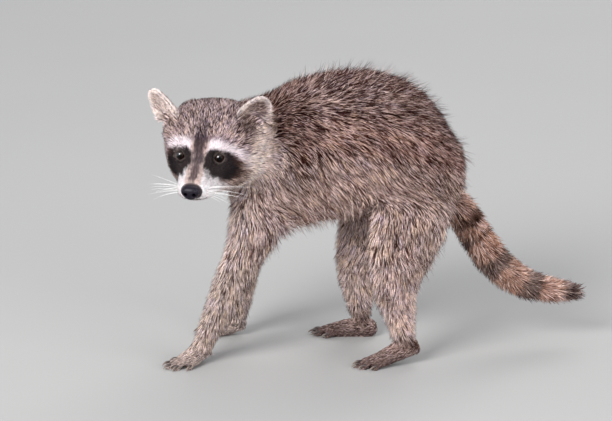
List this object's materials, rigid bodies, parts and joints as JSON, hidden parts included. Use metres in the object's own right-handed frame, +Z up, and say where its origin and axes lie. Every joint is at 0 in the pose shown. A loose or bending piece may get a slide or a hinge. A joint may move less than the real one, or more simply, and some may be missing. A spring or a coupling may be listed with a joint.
{
  "type": "raccoon",
  "caption": "Life-size still model of a young raccoon standing in mid-stride, its head turned to its left and its ringed tail hanging behind.",
  "frame": {"origin": "on the ground under the middle of the animal's bounding box", "axes": "+X from the head towards the tail, -Y towards the animal's left side, +Z up"},
  "size_m": [0.4878, 0.2076, 0.3152],
  "materials": {
    "coat": "grizzled brown and grey fur, 25 to 35 mm deep",
    "limbs": "pale grizzled fur, shorter towards the feet",
    "face": "short fur with a black mask, white brows and muzzle and a dark median stripe",
    "ears": "short pale fur with white rims",
    "tail": "rusty fur with dark rings and a dark tip",
    "paws": "thin short fur over dark pads and claws",
    "nose": "moist, finely pebbled dark skin",
    "eyes": "wet, nearly black"
  },
  "bodies": {
    "root": {"head": "face", "nose": "nose", "eye_left": "eyes", "eye_right": "eyes", "ear_left": "ears", "ear_right": "ears", "neck": "coat", "trunk": "coat", "tail": "tail", "leg_front_left": "limbs", "leg_front_right": "limbs", "leg_hind_left": "limbs", "leg_hind_right": "limbs", "paw_front_left": "paws", "paw_front_right": "paws", "paw_hind_left": "paws", "paw_hind_right": "paws"}
  },
  "joints": []
}
